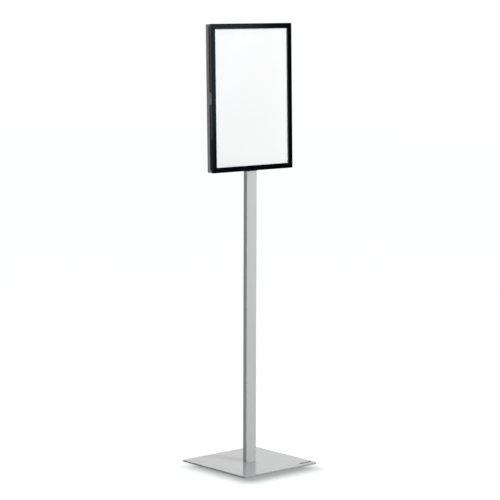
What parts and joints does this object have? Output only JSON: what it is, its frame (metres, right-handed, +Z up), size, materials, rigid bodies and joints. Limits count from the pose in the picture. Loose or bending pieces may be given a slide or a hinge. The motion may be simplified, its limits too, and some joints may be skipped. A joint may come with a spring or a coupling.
{
  "type": "sign stand",
  "caption": "Free-standing sign holder with a flat square base, a slim rectangular pole and a shallow display case whose clear framed cover opens like a door.",
  "frame": {"origin": "on the floor, under the middle of the square base plate", "axes": "+Z up along the pole; the display faces -Y; +X is to the right of a viewer who faces the display"},
  "size_m": [0.325, 0.3, 1.3662],
  "materials": {
    "base_paint": "silver powder coat, satin-gloss",
    "pole_aluminium": "satin anodised, lightly brushed along its length",
    "case_silver": "silver-grey moulded plastic, fine texture",
    "cover_black": "polished black",
    "retainer_black": "matt black",
    "pane_clear": "clear acrylic",
    "board_white": "smooth white board",
    "sheet_paper": "plain white paper",
    "zinc_steel": "bright zinc plate",
    "black_screw_steel": "black oxide",
    "block_aluminium": "as sawn and milled",
    "magnet_ferrite": "dark grey ferrite, as ground",
    "nylon_white": "natural nylon",
    "foot_rubber": "matt",
    "badge_dark": "blank dark badge"
  },
  "bodies": {
    "stand": {"base_plate": "base_paint", "base_feet": "foot_rubber", "base_badge": "badge_dark", "base_screws": "zinc_steel", "pole": "pole_aluminium", "foot_block": "block_aluminium", "foot_block_screws": "black_screw_steel", "head_bracket": "zinc_steel", "bracket_screws": "black_screw_steel", "back_panel": "case_silver", "panel_screws": "black_screw_steel", "bracket_panel_screws": "black_screw_steel", "top_rail": "case_silver", "bottom_rail": "case_silver", "left_rail": "case_silver", "right_rail": "case_silver", "board_spacers": "nylon_white", "backing_board": "board_white", "board_screws": "zinc_steel", "insert_sheet": "sheet_paper", "latch_magnets": "magnet_ferrite", "hinge_pins": "zinc_steel", "hinge_washers": "nylon_white"},
    "cover": {"cover_frame": "cover_black", "cover_pane": "pane_clear", "pane_retainer": "retainer_black", "retainer_screws": "black_screw_steel", "keeper_strips": "zinc_steel"}
  },
  "joints": [
    {"name": "cover_hinge", "type": "hinge", "parent": "stand", "child": "cover", "pos_m": [0.1596, 0.00059, 1.14204], "axis": [0, 0.0209, 0.9998], "range_deg": [0, 110]}
  ]
}
